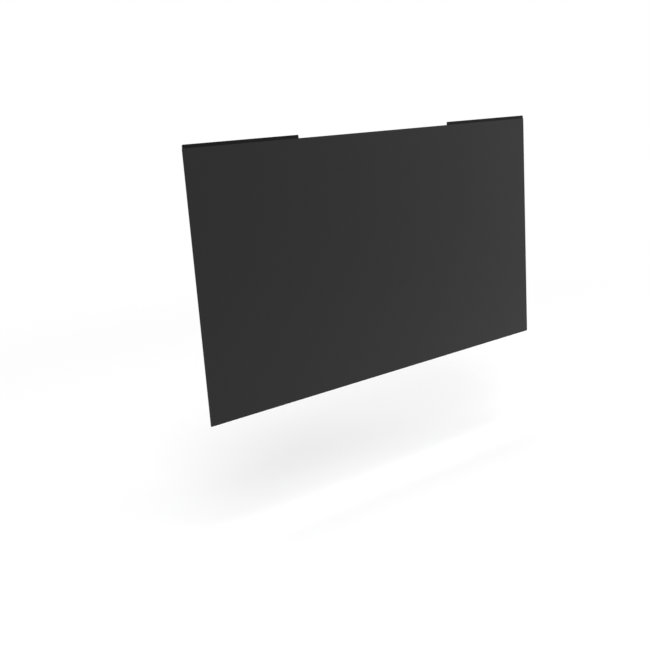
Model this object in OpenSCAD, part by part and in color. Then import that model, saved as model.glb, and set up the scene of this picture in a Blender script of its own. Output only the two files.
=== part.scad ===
// Privacy filter of the 24 inch widescreen size, in millimetres.
// A thin dark sheet carries two flexible magnet strips on its top edge. Each strip has a
// rebate: its head stands on the sheet's top edge, and its lap goes down behind the sheet,
// where a thin tape bonds it. The flat back of each strip is its magnetic face.
// The filter stands upright as it is used: X runs along its width, +Y points back, away
// from the user, and +Z is up. The origin is the centre of the whole filter.

/* [Sheet] */
// Width of the sheet
sheet_w = 531; // [320:1:700]
// Height of the sheet
sheet_h = 299; // [180:1:420]
// Thickness of the sheet
sheet_t = 0.55; // [0.4:0.05:1.2]
// Radius of the sheet's die-cut corners
sheet_corner_r = 0.8; // [0.2:0.1:3]

/* [Magnet strips] */
// Length of each strip
strip_l = 147; // [40:0.5:260]
// Distance from each side of the sheet to the outer end of its strip
strip_inset = 0.8; // [0:0.1:5]
// How far the strips stand up above the sheet's top edge
strip_rise = 3.8; // [2:0.1:10]
// How far the strips reach down behind the sheet
lap_h = 4.2; // [2:0.1:12]
// Thickness of the lap behind the sheet
lap_t = 0.6; // [0.5:0.05:2]
// How far the head's front face lies behind the sheet's front face
front_step = 0.1; // [0:0.05:0.3]
// Radius of the long edges of the strips
strip_edge_r = 0.2; // [0.05:0.05:0.24]
// Radius of the four corners of each strip, seen from the front
strip_corner_r = 1.4; // [0.3:0.1:1.8]

/* [Bond] */
// Thickness of the double-sided tape
tape_t = 0.15; // [0.05:0.05:0.4]
// Distance from the edges of the tape to the edges of the lap
tape_margin = 0.4; // [0.2:0.1:0.9]
// Running gap between the sheet's top edge and the head that stands on it
seat_gap = 0.05; // [0.02:0.01:0.3]

/* [Hidden] */
$fn = 48;

SHEET_COLOUR = [0.21, 0.21, 0.21];
STRIP_COLOUR = [0.12, 0.12, 0.12];
TAPE_COLOUR = [0.05, 0.05, 0.05];
LEFT = -1;
RIGHT = 1;

total_h = sheet_h + strip_rise;
total_t = sheet_t + tape_t + lap_t;

// Depths, from the sheet's front face to the magnetic back faces
sheet_front_y = -total_t / 2;
sheet_back_y = sheet_front_y + sheet_t;
head_front_y = sheet_front_y + front_step;
lap_front_y = sheet_back_y + tape_t;
back_y = total_t / 2;

// Heights
sheet_bottom_z = -total_h / 2;
sheet_top_z = sheet_bottom_z + sheet_h;
strip_top_z = total_h / 2;
strip_bottom_z = sheet_top_z - lap_h;

// Distance from the middle of the filter to the middle of each strip
strip_mid_x = sheet_w / 2 - strip_inset - strip_l / 2;

// A rectangle with round corners, drawn from its lower left corner
module rounded_rect(size, r) {
    translate([r, 0])
        square([size.x - 2 * r, size.y]);
    translate([0, r])
        square([size.x, size.y - 2 * r]);
    for (x = [r, size.x - r], y = [r, size.y - r])
        translate([x, y])
            circle(r = r);
}

// Turns a profile drawn in depth and height into a bar along X, centred on x = 0
module bar_along_x(length) {
    translate([-length / 2, 0, 0])
        rotate([90, 0, 90])
            linear_extrude(height = length)
                children();
}

// Turns an outline drawn in width and height into a plate from depth y_front to y_back
module plate(y_front, y_back) {
    translate([0, y_back, 0])
        rotate([90, 0, 0])
            linear_extrude(height = y_back - y_front)
                children();
}

// The strip's section: the head over the sheet's edge and the lap behind the sheet
module strip_section() {
    head_z = sheet_top_z + seat_gap;
    translate([head_front_y, head_z])
        rounded_rect([back_y - head_front_y, strip_top_z - head_z], strip_edge_r);
    translate([lap_front_y, strip_bottom_z])
        rounded_rect([lap_t, strip_top_z - strip_bottom_z], strip_edge_r);
}

// The extruded section with its four corners rounded as seen from the front
module strip(side) {
    strip_h = strip_top_z - strip_bottom_z;
    translate([side * strip_mid_x, 0, 0])
        intersection() {
            bar_along_x(strip_l)
                strip_section();
            plate(sheet_front_y, back_y)
                translate([-strip_l / 2, strip_bottom_z])
                    rounded_rect([strip_l, strip_h], strip_corner_r);
        }
}

// The tape fills the gap between the sheet's back face and the lap
module tape(side) {
    tape_l = strip_l - 2 * tape_margin;
    tape_h = lap_h - 2 * tape_margin;
    translate([side * strip_mid_x, 0, 0])
        plate(sheet_back_y, lap_front_y)
            translate([-tape_l / 2, strip_bottom_z + tape_margin])
                square([tape_l, tape_h]);
}

module filter_sheet() {
    color(SHEET_COLOUR)
        plate(sheet_front_y, sheet_back_y)
            translate([-sheet_w / 2, sheet_bottom_z])
                rounded_rect([sheet_w, sheet_h], sheet_corner_r);
}

module magnet_strip_left() {
    color(STRIP_COLOUR)
        strip(LEFT);
}

module magnet_strip_right() {
    color(STRIP_COLOUR)
        strip(RIGHT);
}

module bond_tape_left() {
    color(TAPE_COLOUR)
        tape(LEFT);
}

module bond_tape_right() {
    color(TAPE_COLOUR)
        tape(RIGHT);
}

filter_sheet();
magnet_strip_left();
magnet_strip_right();
bond_tape_left();
bond_tape_right();
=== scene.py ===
# %% [markdown]
# # A magnetic privacy filter
# The filter is a thin dark sheet with two slim magnet strips on its top edge, which hold it up.
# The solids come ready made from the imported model, at their real size and place. So this lesson
# is about the things that a solid doesn't hold: how a satin film, a drawn rubber strip and
# a tape take the light, and how to photograph a very dark, very flat thing so that it doesn't
# turn into a black hole.

# %% Load the filter's solids
import math

import bpy
from mathutils import Matrix, Vector


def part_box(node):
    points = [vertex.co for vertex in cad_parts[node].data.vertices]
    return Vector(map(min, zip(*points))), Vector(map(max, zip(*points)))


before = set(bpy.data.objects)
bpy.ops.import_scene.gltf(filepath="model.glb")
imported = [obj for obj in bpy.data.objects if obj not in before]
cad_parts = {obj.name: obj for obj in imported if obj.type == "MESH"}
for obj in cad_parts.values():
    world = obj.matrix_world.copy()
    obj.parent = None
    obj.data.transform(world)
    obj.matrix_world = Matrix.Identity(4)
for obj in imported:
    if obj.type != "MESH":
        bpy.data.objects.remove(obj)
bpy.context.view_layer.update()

print("solids:", sorted(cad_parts))

# %% [markdown]
# ## The sizes that the finishes need
# Some of the detail below depends on where a face lies: the front of the sheet is anti-glare,
# its back is glossier, and its cut edge shows the film's layers. These places are read from
# the solids, so they follow if a size is changed.

# %% Read the sheet's place
MM = 0.001

sheet_low, sheet_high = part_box("filter_sheet")
sheet_middle = (sheet_low + sheet_high) / 2
sheet_front_middle = Vector((sheet_middle.x, sheet_low.y, sheet_middle.z))
sheet_thickness = sheet_high.y - sheet_low.y
print("sheet, mm:", [round(v / MM, 2) for v in sheet_high - sheet_low])

# %% [markdown]
# ## Camera
# The reference picture was taken from the front left, a little above the middle of the sheet,
# with a slight roll. The sheet is a known rectangle, so its four edges in the picture fix the
# lens and the camera's place: the left and right edges meet far below the picture, and the top
# and bottom edges meet far to its right. The values below are that solution, given as a place
# relative to the middle of the sheet's front, three angles and a focal length.
# Building the rotation from named angles keeps it readable; a constraint that tracks a target
# would lose the roll.

# %% Place the camera
CAMERA_FROM_SHEET = Vector((-0.7154, -0.8086, 0.1716))
CAMERA_TURN = math.radians(-37.281)
CAMERA_DIP = math.radians(13.27)
CAMERA_ROLL = math.radians(-4.114)
PICTURE_WIDTH_PX = 650
FOCAL_LENGTH_PX = 884.8
SENSOR_WIDTH_MM = 36.0
NEAREST_SEEN = 0.02
FARTHEST_SEEN = 60.0


def add_camera():
    """The camera looks along +Y at no turn. It turns about Z, then dips, then rolls."""
    data = bpy.data.cameras.new("camera")
    data.sensor_width = SENSOR_WIDTH_MM
    data.lens = FOCAL_LENGTH_PX / PICTURE_WIDTH_PX * SENSOR_WIDTH_MM
    data.clip_start = NEAREST_SEEN
    data.clip_end = FARTHEST_SEEN
    camera = bpy.data.objects.new("camera", data)
    turn = Matrix.Rotation(CAMERA_TURN, 4, "Z")
    dip = Matrix.Rotation(math.radians(90) - CAMERA_DIP, 4, "X")
    roll = Matrix.Rotation(CAMERA_ROLL, 4, "Z")
    place = Matrix.Translation(sheet_front_middle + CAMERA_FROM_SHEET)
    camera.matrix_world = place @ turn @ dip @ roll
    bpy.context.scene.collection.objects.link(camera)
    bpy.context.scene.camera = camera
    return camera


camera = add_camera()
print("camera at", [round(v, 3) for v in camera.matrix_world.translation])
print("lens, mm:", round(camera.data.lens, 2))

# %% [markdown]
# ## Helpers for shader trees
# A node tree is a graph, and a graph written out by hand soon hides what it does. A few small
# helpers keep each material to readable lines. `add_node` makes a node with its settings.
# `feed` fills or joins a socket, whichever the value calls for, and the rest are built on it,
# so a plain number and another node's output can be used in the same way.

# %% Write the shader helpers
def add_node(tree, kind, **settings):
    made = tree.nodes.new(kind)
    for name, value in settings.items():
        setattr(made, name, value)
    return made


def feed(tree, socket, value):
    """Joins the socket to another socket, or sets it to a plain value."""
    if isinstance(value, bpy.types.NodeSocket):
        tree.links.new(value, socket)
    else:
        socket.default_value = value


def calculate(tree, operation, *values):
    made = add_node(tree, "ShaderNodeMath", operation=operation)
    for socket, value in zip(made.inputs, values):
        feed(tree, socket, value)
    return made.outputs[0]


def remap(tree, value, from_low, from_high, to_low, to_high, smooth=False):
    made = add_node(tree, "ShaderNodeMapRange")
    made.interpolation_type = "SMOOTHSTEP" if smooth else "LINEAR"
    settings = {
        "Value": value,
        "From Min": from_low,
        "From Max": from_high,
        "To Min": to_low,
        "To Max": to_high,
    }
    for name, setting in settings.items():
        feed(tree, made.inputs[name], setting)
    return made.outputs["Result"]


def grey(level):
    return (level, level, level, 1.0)


print("shader helpers ready")

# %% [markdown]
# ## Floor and backdrop
# The filter is a thing that hangs, so the floor lies well below its bottom edge, at the level
# that the picture gives it. It is a plain pale sheet of studio board. Close to the filter it is
# an ordinary matt surface that takes the soft shadow. Further out it fades to plain white for
# the camera and for reflections, so that no horizon line cuts through the picture. The fade is
# a mask in the floor's own coordinates and not more light, so the filter stays lit as before.
# Seen from below, the floor lets the view through, since it is only there for the picture.

# %% Make the studio board
BOARD_COLOUR = 0.94
BOARD_ROUGHNESS = 0.9
FADE_START = 0.45
FADE_END = 1.5
WHITE_STRENGTH = 1.0


def rays_that_see_white(tree):
    """One for rays that look at the backdrop, straight or by reflection, and nought for light."""
    path = add_node(tree, "ShaderNodeLightPath").outputs
    return calculate(tree, "MAXIMUM", path["Is Camera Ray"], path["Is Glossy Ray"])


def mix_shaders(tree, factor, first, second):
    made = add_node(tree, "ShaderNodeMixShader")
    for socket, value in zip(made.inputs, (factor, first, second)):
        feed(tree, socket, value)
    return made.outputs[0]


def studio_board():
    made = bpy.data.materials.new("studio_board")
    made.use_nodes = True
    tree = made.node_tree
    tree.nodes.clear()
    board = add_node(tree, "ShaderNodeBsdfPrincipled")
    board.inputs["Base Color"].default_value = grey(BOARD_COLOUR)
    board.inputs["Roughness"].default_value = BOARD_ROUGHNESS
    white = add_node(tree, "ShaderNodeEmission")
    white.inputs["Strength"].default_value = WHITE_STRENGTH

    distance = add_node(tree, "ShaderNodeVectorMath", operation="LENGTH")
    feed(tree, distance.inputs[0], add_node(tree, "ShaderNodeTexCoord").outputs["Object"])
    far = remap(tree, distance.outputs["Value"], FADE_START, FADE_END, 0.0, 1.0, smooth=True)
    fade = calculate(tree, "MULTIPLY", far, rays_that_see_white(tree))
    faded = mix_shaders(tree, fade, board.outputs[0], white.outputs[0])

    from_below = add_node(tree, "ShaderNodeNewGeometry").outputs["Backfacing"]
    clear = add_node(tree, "ShaderNodeBsdfTransparent")
    output = add_node(tree, "ShaderNodeOutputMaterial")
    feed(tree, output.inputs["Surface"], mix_shaders(tree, from_below, faded, clear.outputs[0]))
    return made


board = studio_board()
print("made", board.name)

# %% Lay the floor
FLOOR_GAP = 0.137
FLOOR_HALF_WIDTH = 14.0


def lay_floor():
    corners = [(x * FLOOR_HALF_WIDTH, y * FLOOR_HALF_WIDTH, 0.0)
               for x, y in ((-1, -1), (1, -1), (1, 1), (-1, 1))]
    mesh = bpy.data.meshes.new("floor")
    mesh.from_pydata(corners, [], [(0, 1, 2, 3)])
    mesh.materials.append(board)
    floor = bpy.data.objects.new("floor", mesh)
    floor.location.z = sheet_low.z - FLOOR_GAP
    bpy.context.scene.collection.objects.link(floor)
    return floor


floor = lay_floor()
print("floor at", round(floor.location.z, 3))

# %% [markdown]
# ## Light
# A dark satin sheet shows hardly any colour of its own: nearly all the grey that the eye reads
# off it is a blurred reflection of the pale studio, three to five per cent of white. So the room
# round the filter matters more than the lamps. The world is white to the camera and to
# reflections, and gives about two fifths of the light. A large soft lamp on the left, a weaker
# one on the right and one overhead give the rest, and draw the soft shadow. Their power was set
# with a plain grey card in the sheet's place, so that the card's colour renders about as it is
# written.

# %% Set the world
AMBIENT_STRENGTH = 0.46


def set_world():
    world = bpy.data.worlds.new("studio")
    world.use_nodes = True
    bpy.context.scene.world = world
    tree = world.node_tree
    tree.nodes.clear()
    light = add_node(tree, "ShaderNodeBackground")
    light.inputs["Color"].default_value = grey(1.0)
    strength = remap(tree, rays_that_see_white(tree), 0.0, 1.0, AMBIENT_STRENGTH, WHITE_STRENGTH)
    feed(tree, light.inputs["Strength"], strength)
    output = add_node(tree, "ShaderNodeOutputWorld")
    feed(tree, output.inputs["Surface"], light.outputs[0])
    return world


world = set_world()
bpy.context.scene.view_settings.view_transform = "Standard"
print("set the world:", world.name)

# %% Hang the lamps
LAMPS = {
    "key_lamp": {"place": (-1.7, -2.4, 2.4), "size": 2.4, "watts": 45.0},
    "fill_lamp": {"place": (2.5, -1.8, 2.1), "size": 2.2, "watts": 22.0},
    "top_lamp": {"place": (0.0, -0.1, 2.8), "size": 2.4, "watts": 50.0},
}


def hang_lamp(name, place, size, watts):
    data = bpy.data.lights.new(name, "AREA")
    data.shape = "DISK"
    data.size = size
    data.energy = watts
    lamp = bpy.data.objects.new(name, data)
    lamp.location = place
    aim = sheet_front_middle - Vector(place)
    lamp.rotation_euler = aim.to_track_quat("-Z", "Y").to_euler()
    bpy.context.scene.collection.objects.link(lamp)


for name, settings in LAMPS.items():
    hang_lamp(name, **settings)
    print(name, settings["watts"], "W")

# %% [markdown]
# ## Helpers for node groups
# An effect that several finishes share is a node group: it is built once, and each material
# places it with values of its own. A group has named sockets, like a node that Blender brings
# with it, and it passes on plain values only. The shader itself stays in the material.

# %% Write the group helpers
def new_group(name, inputs, outputs):
    """A shader group with the sockets given as name: kind, and its input and output nodes."""
    kinds = {"float": "NodeSocketFloat", "vector": "NodeSocketVector"}
    group = bpy.data.node_groups.new(name, "ShaderNodeTree")
    for socket, kind in inputs.items():
        group.interface.new_socket(socket, in_out="INPUT", socket_type=kinds[kind])
    for socket, kind in outputs.items():
        group.interface.new_socket(socket, in_out="OUTPUT", socket_type=kinds[kind])
    given = add_node(group, "NodeGroupInput").outputs
    made = add_node(group, "NodeGroupOutput").inputs
    return group, given, made


def use_group(tree, group, **values):
    """Places a group. An input is named by its words joined with low lines."""
    made = add_node(tree, "ShaderNodeGroup", node_tree=group)
    for name, value in values.items():
        feed(tree, made.inputs[name.replace("_", " ")], value)
    return made.outputs


print("group helpers ready")

# %% [markdown]
# ## A group for fine grain
# All three finishes have a fine irregular tooth: the anti-glare coat of the sheet, the skin of
# the drawn rubber and the face of the tape. It is one effect at three sizes, so the grain's size
# is an input. The group also gives broad soft patches, for the slow drift of shade and gloss
# that any coated or rolled surface has. Noise in object coordinates needs no unwrapping and
# stays at its true size in metres.

# %% Build the grain group
PATCH_SIZE_IN_GRAINS = 60.0
GRAIN_DETAIL = 1.0
PATCH_DETAIL = 3.0


def build_grain_group():
    group, given, made = new_group(
        "fine_grain",
        {"Place": "vector", "Grain size": "float"},
        {"Height": "float", "Patches": "float"},
    )
    per_metre = calculate(group, "DIVIDE", 1.0, given["Grain size"])
    fine = add_node(group, "ShaderNodeTexNoise")
    feed(group, fine.inputs["Vector"], given["Place"])
    feed(group, fine.inputs["Scale"], per_metre)
    fine.inputs["Detail"].default_value = GRAIN_DETAIL
    broad = add_node(group, "ShaderNodeTexNoise")
    feed(group, broad.inputs["Vector"], given["Place"])
    feed(group, broad.inputs["Scale"], calculate(group, "DIVIDE", per_metre, PATCH_SIZE_IN_GRAINS))
    broad.inputs["Detail"].default_value = PATCH_DETAIL
    feed(group, made["Height"], fine.outputs[0])
    feed(group, made["Patches"], broad.outputs[0])
    return group


grain_group = build_grain_group()
print("built", grain_group.name)

# %% [markdown]
# ## A group for drawn lines
# The sheet and the strips are both made by running material past an edge: the louvre block is
# shaved into film by a long blade, and the rubber is pushed through a die. Both leave very
# faint streaks along the way they ran. Noise that is stretched a few hundred times along one
# direction gives such streaks, with no repeat to show up as a pattern. The stretch is an input,
# so the same group makes upright streaks on the sheet and level ones on the strips.

# %% Build the drawn lines group
LINES_DETAIL = 4.0
LINES_UNEVENNESS = 0.6


def build_lines_group():
    group, given, made = new_group(
        "drawn_lines",
        {"Place": "vector", "Lines per metre": "vector"},
        {"Height": "float"},
    )
    stretched = add_node(group, "ShaderNodeVectorMath", operation="MULTIPLY")
    feed(group, stretched.inputs[0], given["Place"])
    feed(group, stretched.inputs[1], given["Lines per metre"])
    noise = add_node(group, "ShaderNodeTexNoise")
    feed(group, noise.inputs["Vector"], stretched.outputs[0])
    noise.inputs["Scale"].default_value = 1.0
    noise.inputs["Detail"].default_value = LINES_DETAIL
    noise.inputs["Roughness"].default_value = LINES_UNEVENNESS
    feed(group, made["Height"], noise.outputs[0])
    return group


lines_group = build_lines_group()
print("built", lines_group.name)

# %% [markdown]
# ## A group for which way a face looks
# A laminate and a rubber strip look different on their broad faces and where they were cut.
# The mask compares a face's own normal with a direction, in the object's frame. It knows
# nothing of the camera, so it stays put in every view.

# %% Build the facing group
BACKWARDS = (0.0, 1.0, 0.0)
ENDWAYS = (1.0, 0.0, 0.0)
MASK_STARTS = 0.55
MASK_IS_FULL = 0.85


def build_facing_group():
    group, given, made = new_group(
        "face_direction",
        {"Normal": "vector", "Direction": "vector"},
        {"Towards": "float", "Across": "float"},
    )
    dot = add_node(group, "ShaderNodeVectorMath", operation="DOT_PRODUCT")
    feed(group, dot.inputs[0], given["Normal"])
    feed(group, dot.inputs[1], given["Direction"])
    along = dot.outputs["Value"]
    towards = remap(group, along, MASK_STARTS, MASK_IS_FULL, 0.0, 1.0, smooth=True)
    either_way = calculate(group, "ABSOLUTE", along)
    across = remap(group, either_way, MASK_STARTS, MASK_IS_FULL, 1.0, 0.0, smooth=True)
    feed(group, made["Towards"], towards)
    feed(group, made["Across"], across)
    return group


facing_group = build_facing_group()
print("built", facing_group.name)

# %% [markdown]
# ## What every finish starts from
# Each finish begins with the same few nodes: one Principled shader, the object's coordinates
# for its textures, and the true normal for its masks. Noise rarely leaves the middle of its
# range, so `spread` stretches that middle over the change that a finish wants. A bump goes on
# last, with its depth in metres, so a drawn line can be given its real height.

# %% Write the finish helpers
NOISE_LOW = 0.3
NOISE_HIGH = 0.7


def new_material(name):
    """A material with its shader, and the place and normal that its textures use."""
    made = bpy.data.materials.new(name)
    made.use_nodes = True
    tree = made.node_tree
    tree.nodes.clear()
    shader = add_node(tree, "ShaderNodeBsdfPrincipled")
    output = add_node(tree, "ShaderNodeOutputMaterial")
    feed(tree, output.inputs["Surface"], shader.outputs[0])
    place = add_node(tree, "ShaderNodeTexCoord").outputs["Object"]
    normal = add_node(tree, "ShaderNodeNewGeometry").outputs["True Normal"]
    return made, tree, shader, place, normal


def mix_colours(tree, factor, first, second):
    made = add_node(tree, "ShaderNodeMix", data_type="RGBA")
    feed(tree, made.inputs["Factor"], factor)
    feed(tree, made.inputs["A"], first)
    feed(tree, made.inputs["B"], second)
    return made.outputs["Result"]


def spread(tree, noise, low, high):
    return remap(tree, noise, NOISE_LOW, NOISE_HIGH, low, high)


def add_bump(tree, shader, height, depth):
    bump = add_node(tree, "ShaderNodeBump")
    bump.inputs["Distance"].default_value = depth
    feed(tree, bump.inputs["Height"], height)
    feed(tree, shader.inputs["Normal"], bump.outputs[0])


print("finish helpers ready")

# %% [markdown]
# ## What the film is made of
# The sheet is a stack of microscopic upright louvres between two clear films. Two patterns
# follow from that. Across the width, the louvres are very fine upright lines, drawn at their
# real pitch and faint enough that they never beat against the pixels. Through the thickness, the
# cut edge shows the dark core between two paler clear films. Both are sums on the coordinates,
# since a texture image would have to be enormous to hold lines a tenth of a millimetre apart.

# %% Work out the louvres and the layers
LOUVRE_PITCH = 0.1 * MM
CLEAR_FILM_SHARE = 0.3
LAYER_BLUR = 0.1


def coordinate(tree, place, axis):
    apart = add_node(tree, "ShaderNodeSeparateXYZ")
    feed(tree, apart.inputs[0], place)
    return apart.outputs[axis]


def louvre_lines(tree, place):
    """A mask that rises and falls once for each louvre across the width."""
    turns = calculate(tree, "MULTIPLY", coordinate(tree, place, "X"), math.tau / LOUVRE_PITCH)
    return remap(tree, calculate(tree, "SINE", turns), -1.0, 1.0, 0.0, 1.0)


def clear_film_layers(tree, place):
    """One in the two clear outer films and nought in the dark core, through the thickness."""
    from_middle = calculate(tree, "SUBTRACT", coordinate(tree, place, "Y"), sheet_middle.y)
    depth = calculate(tree, "ABSOLUTE", from_middle)
    core_edge = sheet_thickness / 2 * (1.0 - CLEAR_FILM_SHARE)
    blur = core_edge * LAYER_BLUR
    return remap(tree, depth, core_edge - blur, core_edge + blur, 0.0, 1.0, smooth=True)


print("louvres across the sheet:", round((sheet_high.x - sheet_low.x) / LOUVRE_PITCH))

# %% [markdown]
# ## The louvre film
# From the side the louvres close and the sheet turns almost black. What is left to see is the
# surface: an anti-glare coat that blurs the room into an even dark grey. So the material has
# a near-black colour and leaves the grey to the shader's own gloss. Its specular level is about
# half that of bare plastic, because the coat is there to cut reflections. A lower index would look
# the same here, but the exported model would lose it. The grey is lighter towards the far side,
# where the eye meets the sheet at a flatter angle. Gloss alone gives only half of that rise. The
# rest is the haze of the coat's fine tooth, and a small amount of sheen stands for it.
#
# Head-on the real film can be seen through. The picture shows it from well to the side, where it
# lets about one part in a hundred through, so the material is opaque. It could be made to clear
# as the camera comes round, but that look would be lost in the exported model.
#
# Faint upright streaks and broad patches shift the gloss of the front by a few hundredths. The
# back has the harder, glossier face of such films.

# %% Make the louvre film
FILM_BLACK = 0.003
LOUVRE_DEPTH = 0.06
COAT_GRAIN = 0.16 * MM
COAT_GRAIN_HEIGHT = 0.0018 * MM
COAT_ROUGHNESS = 0.34
COAT_PATCH_CHANGE = 0.025
COAT_STREAK_CHANGE = 0.015
COAT_STREAKS_PER_METRE = (420.0, 1.0, 1.4)
COAT_SPECULAR = 0.27
COAT_HAZE = 0.075
COAT_HAZE_ROUGHNESS = 0.5
BACK_ROUGHNESS = 0.15
CORE_GREY = 0.012
CLEAR_FILM_GREY = 0.075
CUT_ROUGHNESS = 0.55


def louvre_film():
    made, tree, shader, place, normal = new_material("louvre_film")
    facing = use_group(tree, facing_group, Normal=normal, Direction=BACKWARDS)
    grain = use_group(tree, grain_group, Place=place, Grain_size=COAT_GRAIN)
    streaks = use_group(tree, lines_group, Place=place, Lines_per_metre=COAT_STREAKS_PER_METRE)

    shade = remap(tree, louvre_lines(tree, place), 0.0, 1.0, 1.0 - LOUVRE_DEPTH, 1.0)
    broad_face = mix_colours(tree, shade, grey(0.0), grey(FILM_BLACK))
    layers = clear_film_layers(tree, place)
    cut_face = mix_colours(tree, layers, grey(CORE_GREY), grey(CLEAR_FILM_GREY))
    colour = mix_colours(tree, facing["Across"], broad_face, cut_face)
    feed(tree, shader.inputs["Base Color"], colour)

    patches = spread(tree, grain["Patches"], -COAT_PATCH_CHANGE, COAT_PATCH_CHANGE)
    streak = spread(tree, streaks["Height"], -COAT_STREAK_CHANGE, COAT_STREAK_CHANGE)
    change = calculate(tree, "ADD", patches, streak)
    front = calculate(tree, "ADD", change, COAT_ROUGHNESS)
    broad = remap(tree, facing["Towards"], 0.0, 1.0, front, BACK_ROUGHNESS)
    roughness = remap(tree, facing["Across"], 0.0, 1.0, broad, CUT_ROUGHNESS)
    feed(tree, shader.inputs["Roughness"], roughness)
    shader.inputs["Specular IOR Level"].default_value = COAT_SPECULAR
    shader.inputs["Sheen Weight"].default_value = COAT_HAZE
    shader.inputs["Sheen Roughness"].default_value = COAT_HAZE_ROUGHNESS
    add_bump(tree, shader, grain["Height"], COAT_GRAIN_HEIGHT)
    return made


film = louvre_film()
print("made", film.name)

# %% [markdown]
# ## The magnet strips' rubber
# A flexible magnet is rubber packed with magnetic powder and pushed through a die. It is
# blacker and duller than the film: it hardly mirrors the room, so its specular level is low and
# its roughness high, and a trace of sheen lightens it where it is seen at a flat angle. The
# front has a thin smooth skin, the back is the bare magnetic face, a touch browner and rougher,
# and both carry faint lines along the length from the die. The ends were chopped, so they lose
# the lines.

# %% Make the magnet rubber
RUBBER_FRONT = (0.0020, 0.0020, 0.0021, 1.0)
RUBBER_BACK = (0.0105, 0.0098, 0.0092, 1.0)
RUBBER_END = (0.0090, 0.0086, 0.0082, 1.0)
RUBBER_SHADE_CHANGE = 0.22
RUBBER_ROUGHNESS = 0.5
RUBBER_BACK_ROUGHNESS = 0.68
RUBBER_SPECULAR = 0.11
RUBBER_HAZE = 0.045
RUBBER_HAZE_ROUGHNESS = 0.5
RUBBER_GRAIN = 0.22 * MM
RUBBER_GRAIN_SHARE = 0.45
RUBBER_LINES_PER_METRE = (9.0, 3200.0, 3200.0)
RUBBER_LINE_HEIGHT = 0.012 * MM


def magnet_rubber():
    made, tree, shader, place, normal = new_material("magnet_rubber")
    at_the_back = use_group(tree, facing_group, Normal=normal, Direction=BACKWARDS)["Towards"]
    off_the_ends = use_group(tree, facing_group, Normal=normal, Direction=ENDWAYS)["Across"]
    grain = use_group(tree, grain_group, Place=place, Grain_size=RUBBER_GRAIN)
    lines = use_group(tree, lines_group, Place=place, Lines_per_metre=RUBBER_LINES_PER_METRE)

    sides = mix_colours(tree, at_the_back, RUBBER_FRONT, RUBBER_BACK)
    plain = mix_colours(tree, off_the_ends, RUBBER_END, sides)
    mottle = spread(tree, grain["Patches"], 1.0 - RUBBER_SHADE_CHANGE, 1.0)
    feed(tree, shader.inputs["Base Color"], mix_colours(tree, mottle, grey(0.0), plain))
    roughness = remap(tree, at_the_back, 0.0, 1.0, RUBBER_ROUGHNESS, RUBBER_BACK_ROUGHNESS)
    feed(tree, shader.inputs["Roughness"], roughness)
    shader.inputs["Specular IOR Level"].default_value = RUBBER_SPECULAR
    shader.inputs["Sheen Weight"].default_value = RUBBER_HAZE
    shader.inputs["Sheen Roughness"].default_value = RUBBER_HAZE_ROUGHNESS

    die_lines = calculate(tree, "MULTIPLY", lines["Height"], off_the_ends)
    tooth = calculate(tree, "MULTIPLY", grain["Height"], RUBBER_GRAIN_SHARE)
    add_bump(tree, shader, calculate(tree, "ADD", die_lines, tooth), RUBBER_LINE_HEIGHT)
    return made


rubber = magnet_rubber()
print("made", rubber.name)

# %% [markdown]
# ## The bond tape
# Only the tape's edges can be seen, as a hairline under each strip's lap from behind. A dull
# black with a fine tooth is all that it needs. It still has a material of its own, because its
# soft adhesive edge is a little paler and blotchier than the rubber.

# %% Make the bond tape
TAPE_BLACK = 0.008
TAPE_ADHESIVE = 0.02
TAPE_ROUGHNESS = 0.42
TAPE_GRAIN = 0.08 * MM
TAPE_GRAIN_HEIGHT = 0.004 * MM


def bond_tape():
    made, tree, shader, place, normal = new_material("bond_tape")
    edges = use_group(tree, facing_group, Normal=normal, Direction=BACKWARDS)["Across"]
    grain = use_group(tree, grain_group, Place=place, Grain_size=TAPE_GRAIN)
    blotch = calculate(tree, "MULTIPLY", edges, grain["Patches"])
    colour = mix_colours(tree, blotch, grey(TAPE_BLACK), grey(TAPE_ADHESIVE))
    feed(tree, shader.inputs["Base Color"], colour)
    shader.inputs["Roughness"].default_value = TAPE_ROUGHNESS
    add_bump(tree, shader, grain["Height"], TAPE_GRAIN_HEIGHT)
    return made


tape = bond_tape()
print("made", tape.name)

# %% [markdown]
# ## Dress the solids
# The solids already have the true outline, section and edges, so they stay as they are and each
# one only changes its material for the finish of its own slot.

# %% Give each solid its finish
FINISHES = {
    "filter_sheet": film,
    "magnet_strip_left": rubber,
    "magnet_strip_right": rubber,
    "bond_tape_left": tape,
    "bond_tape_right": tape,
}


def dress(node, material):
    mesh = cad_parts[node].data
    mesh.materials.clear()
    mesh.materials.append(material)


for node, material in FINISHES.items():
    dress(node, material)
    print(node, "has", material.name)

# %% [markdown]
# ## Finish

# %% Finish
print("scene built")
